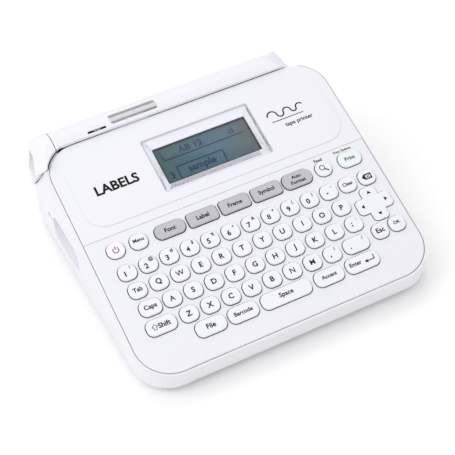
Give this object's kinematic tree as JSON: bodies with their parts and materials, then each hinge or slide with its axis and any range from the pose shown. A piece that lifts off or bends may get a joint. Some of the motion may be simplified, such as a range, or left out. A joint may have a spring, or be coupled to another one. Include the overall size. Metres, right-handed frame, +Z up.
{
  "type": "label maker",
  "caption": "Desktop label maker: sloped key panel with character, function and arrow keys, small display, rounded rear tape compartment with window, and a tape exit on the left side.",
  "frame": {"origin": "on the surface it stands on, under the middle of its bounding box", "axes": "+X to the right of a person typing, +Y to the back, +Z up"},
  "size_m": [0.1887, 0.1763, 0.072],
  "materials": {
    "case_plastic": "satin",
    "cover_plastic": "satin",
    "window_plastic": "clear smoked",
    "lens_plastic": "clear gloss",
    "grey_rubber": "matte",
    "steel": "satin",
    "lcd_glass": "gloss",
    "dark_plastic": "matte",
    "circuit_board": "gloss",
    "battery_jacket": "gloss",
    "cassette_plastic": "gloss",
    "head_aluminium": "satin",
    "roller_rubber": "matte",
    "gear_plastic": "satin",
    "brass": "satin",
    "white_key": "satin",
    "grey_key": "satin",
    "pink_key": "satin",
    "green_key": "satin"
  },
  "bodies": {
    "case": {"lower_case": "case_plastic", "keyboard_cover": "cover_plastic", "display_cover": "cover_plastic", "display_lens": "lens_plastic", "exit_housing": "case_plastic", "battery_cover": "case_plastic", "rubber_feet": "grey_rubber", "case_screws": "steel", "hinge_pins": "steel", "lcd_module": "lcd_glass", "lcd_frame": "dark_plastic", "main_board": "circuit_board", "keypad_sheet": "grey_rubber", "key_board": "circuit_board", "battery_terminals": "steel", "battery_cells": "battery_jacket", "dc_jack": "dark_plastic", "usb_socket": "steel", "tape_bay": "dark_plastic", "tape_cassette": "cassette_plastic", "print_head": "head_aluminium", "feed_motor": "steel", "fixed_blade": "steel", "cutter_motor": "steel"},
    "tape_cover_body": {"tape_cover": "cover_plastic", "tape_window": "window_plastic"},
    "roller_holder_body": {"roller_holder": "steel"},
    "platen_body": {"platen_roller": "roller_rubber", "platen_gear": "gear_plastic"},
    "idler_body": {"idler_gear": "gear_plastic"},
    "pinion_body": {"motor_pinion": "brass"},
    "spindle_body": {"takeup_spindle": "gear_plastic"},
    "blade_body": {"moving_blade": "steel"},
    "arrow_pivot_body": {"arrow_pivot": "dark_plastic"},
    "arrow_pad_body": {"arrow_pad": "white_key"},
    "power_key_body": {"power_key": "pink_key"},
    "menu_key_body": {"menu_key": "white_key"},
    "font_key_body": {"font_key": "grey_key"},
    "label_key_body": {"label_key": "grey_key"},
    "frame_key_body": {"frame_key": "grey_key"},
    "symbol_key_body": {"symbol_key": "grey_key"},
    "auto_format_key_body": {"auto_format_key": "grey_key"},
    "feed_key_body": {"feed_key": "white_key"},
    "print_key_body": {"print_key": "green_key"},
    "clear_key_body": {"clear_key": "white_key"},
    "backspace_key_body": {"backspace_key": "white_key"},
    "tab_key_body": {"tab_key": "white_key"},
    "caps_key_body": {"caps_key": "white_key"},
    "shift_key_body": {"shift_key": "white_key"},
    "escape_key_body": {"escape_key": "white_key"},
    "ok_key_body": {"ok_key": "white_key"},
    "file_key_body": {"file_key": "white_key"},
    "barcode_key_body": {"barcode_key": "white_key"},
    "space_key_body": {"space_key": "white_key"},
    "accent_key_body": {"accent_key": "white_key"},
    "enter_key_body": {"enter_key": "white_key"},
    "number_row_keys_body": {"number_row_keys": "white_key"},
    "q_row_keys_body": {"q_row_keys": "white_key"},
    "a_row_keys_body": {"a_row_keys": "white_key"},
    "z_row_keys_body": {"z_row_keys": "white_key"}
  },
  "joints": [
    {"name": "tape_cover_hinge", "type": "hinge", "parent": "case", "child": "tape_cover_body", "pos_m": [0, 0.0856, 0.0084], "axis": [-1, 0, 0], "range_deg": [0, 90]},
    {"name": "roller_holder_swing", "type": "hinge", "parent": "case", "child": "roller_holder_body", "pos_m": [-0.0635, 0.07, 0.042], "axis": [0, -1, 0], "range_deg": [0, 7]},
    {"name": "platen_spin", "type": "hinge", "parent": "roller_holder_body", "child": "platen_body", "pos_m": [-0.076, 0.07, 0.05], "axis": [0, 1, 0], "continuous": true},
    {"name": "idler_spin", "type": "hinge", "parent": "case", "child": "idler_body", "pos_m": [-0.0635, 0.0537, 0.042], "axis": [0, 1, 0], "continuous": true},
    {"name": "pinion_spin", "type": "hinge", "parent": "case", "child": "pinion_body", "pos_m": [-0.062, 0.05, 0.027], "axis": [0, 1, 0], "continuous": true},
    {"name": "spindle_spin", "type": "hinge", "parent": "case", "child": "spindle_body", "pos_m": [-0.042, 0.06, 0.045], "axis": [0, 1, 0], "continuous": true},
    {"name": "blade_cut", "type": "slide", "parent": "case", "child": "blade_body", "axis": [0, 0, -1], "range_m": [0, 0.005], "stiffness_N_per_m": 50, "springref_m": -0.001},
    {"name": "arrow_tilt_up_down", "type": "hinge", "parent": "case", "child": "arrow_pivot_body", "pos_m": [0.0749, -0.04051, 0.03072], "axis": [1, 0, 0], "range_deg": [-4, 4], "stiffness_Nm_per_rad": 0.05},
    {"name": "arrow_tilt_left_right", "type": "hinge", "parent": "arrow_pivot_body", "child": "arrow_pad_body", "pos_m": [0.0749, -0.04051, 0.03072], "axis": [0, 0.9426, 0.3338], "range_deg": [-4, 4], "stiffness_Nm_per_rad": 0.05},
    {"name": "power_key_press", "type": "slide", "parent": "case", "child": "power_key_body", "axis": [0, 0.3338, -0.9426], "range_m": [0, 0.001], "stiffness_N_per_m": 150, "springref_m": -0.0005},
    {"name": "menu_key_press", "type": "slide", "parent": "case", "child": "menu_key_body", "axis": [0, 0.3338, -0.9426], "range_m": [0, 0.001], "stiffness_N_per_m": 150, "springref_m": -0.0005},
    {"name": "font_key_press", "type": "slide", "parent": "case", "child": "font_key_body", "axis": [0, 0.3338, -0.9426], "range_m": [0, 0.001], "stiffness_N_per_m": 150, "springref_m": -0.0005},
    {"name": "label_key_press", "type": "slide", "parent": "case", "child": "label_key_body", "axis": [0, 0.3338, -0.9426], "range_m": [0, 0.001], "stiffness_N_per_m": 150, "springref_m": -0.0005},
    {"name": "frame_key_press", "type": "slide", "parent": "case", "child": "frame_key_body", "axis": [0, 0.3338, -0.9426], "range_m": [0, 0.001], "stiffness_N_per_m": 150, "springref_m": -0.0005},
    {"name": "symbol_key_press", "type": "slide", "parent": "case", "child": "symbol_key_body", "axis": [0, 0.3338, -0.9426], "range_m": [0, 0.001], "stiffness_N_per_m": 150, "springref_m": -0.0005},
    {"name": "auto_format_key_press", "type": "slide", "parent": "case", "child": "auto_format_key_body", "axis": [0, 0.3338, -0.9426], "range_m": [0, 0.001], "stiffness_N_per_m": 150, "springref_m": -0.0005},
    {"name": "feed_key_press", "type": "slide", "parent": "case", "child": "feed_key_body", "axis": [0, 0.3338, -0.9426], "range_m": [0, 0.001], "stiffness_N_per_m": 150, "springref_m": -0.0005},
    {"name": "print_key_press", "type": "slide", "parent": "case", "child": "print_key_body", "axis": [0, 0.3338, -0.9426], "range_m": [0, 0.001], "stiffness_N_per_m": 150, "springref_m": -0.0005},
    {"name": "clear_key_press", "type": "slide", "parent": "case", "child": "clear_key_body", "axis": [0, 0.3338, -0.9426], "range_m": [0, 0.001], "stiffness_N_per_m": 150, "springref_m": -0.0005},
    {"name": "backspace_key_press", "type": "slide", "parent": "case", "child": "backspace_key_body", "axis": [0, 0.3338, -0.9426], "range_m": [0, 0.001], "stiffness_N_per_m": 150, "springref_m": -0.0005},
    {"name": "tab_key_press", "type": "slide", "parent": "case", "child": "tab_key_body", "axis": [0, 0.3338, -0.9426], "range_m": [0, 0.001], "stiffness_N_per_m": 150, "springref_m": -0.0005},
    {"name": "caps_key_press", "type": "slide", "parent": "case", "child": "caps_key_body", "axis": [0, 0.3338, -0.9426], "range_m": [0, 0.001], "stiffness_N_per_m": 150, "springref_m": -0.0005},
    {"name": "shift_key_press", "type": "slide", "parent": "case", "child": "shift_key_body", "axis": [0, 0.3338, -0.9426], "range_m": [0, 0.001], "stiffness_N_per_m": 150, "springref_m": -0.0005},
    {"name": "escape_key_press", "type": "slide", "parent": "case", "child": "escape_key_body", "axis": [0, 0.3338, -0.9426], "range_m": [0, 0.001], "stiffness_N_per_m": 150, "springref_m": -0.0005},
    {"name": "ok_key_press", "type": "slide", "parent": "case", "child": "ok_key_body", "axis": [0, 0.3338, -0.9426], "range_m": [0, 0.001], "stiffness_N_per_m": 150, "springref_m": -0.0005},
    {"name": "file_key_press", "type": "slide", "parent": "case", "child": "file_key_body", "axis": [0, 0.3338, -0.9426], "range_m": [0, 0.001], "stiffness_N_per_m": 150, "springref_m": -0.0005},
    {"name": "barcode_key_press", "type": "slide", "parent": "case", "child": "barcode_key_body", "axis": [0, 0.3338, -0.9426], "range_m": [0, 0.001], "stiffness_N_per_m": 150, "springref_m": -0.0005},
    {"name": "space_key_press", "type": "slide", "parent": "case", "child": "space_key_body", "axis": [0, 0.3338, -0.9426], "range_m": [0, 0.001], "stiffness_N_per_m": 150, "springref_m": -0.0005},
    {"name": "accent_key_press", "type": "slide", "parent": "case", "child": "accent_key_body", "axis": [0, 0.3338, -0.9426], "range_m": [0, 0.001], "stiffness_N_per_m": 150, "springref_m": -0.0005},
    {"name": "enter_key_press", "type": "slide", "parent": "case", "child": "enter_key_body", "axis": [0, 0.3338, -0.9426], "range_m": [0, 0.001], "stiffness_N_per_m": 150, "springref_m": -0.0005},
    {"name": "number_row_keys_press", "type": "slide", "parent": "case", "child": "number_row_keys_body", "axis": [0, 0.3338, -0.9426], "range_m": [0, 0.001], "stiffness_N_per_m": 400, "springref_m": -0.0005},
    {"name": "q_row_keys_press", "type": "slide", "parent": "case", "child": "q_row_keys_body", "axis": [0, 0.3338, -0.9426], "range_m": [0, 0.001], "stiffness_N_per_m": 400, "springref_m": -0.0005},
    {"name": "a_row_keys_press", "type": "slide", "parent": "case", "child": "a_row_keys_body", "axis": [0, 0.3338, -0.9426], "range_m": [0, 0.001], "stiffness_N_per_m": 400, "springref_m": -0.0005},
    {"name": "z_row_keys_press", "type": "slide", "parent": "case", "child": "z_row_keys_body", "axis": [0, 0.3338, -0.9426], "range_m": [0, 0.001], "stiffness_N_per_m": 400, "springref_m": -0.0005}
  ],
  "couplings": [
    {"joint": "idler_spin", "follows": "spindle_spin", "ratio": -1.2},
    {"joint": "pinion_spin", "follows": "spindle_spin", "ratio": 2.4},
    {"joint": "platen_spin", "follows": "spindle_spin", "ratio": 2.4},
    {"joint": "roller_holder_swing", "follows": "tape_cover_hinge", "ratio": 0.0777}
  ]
}
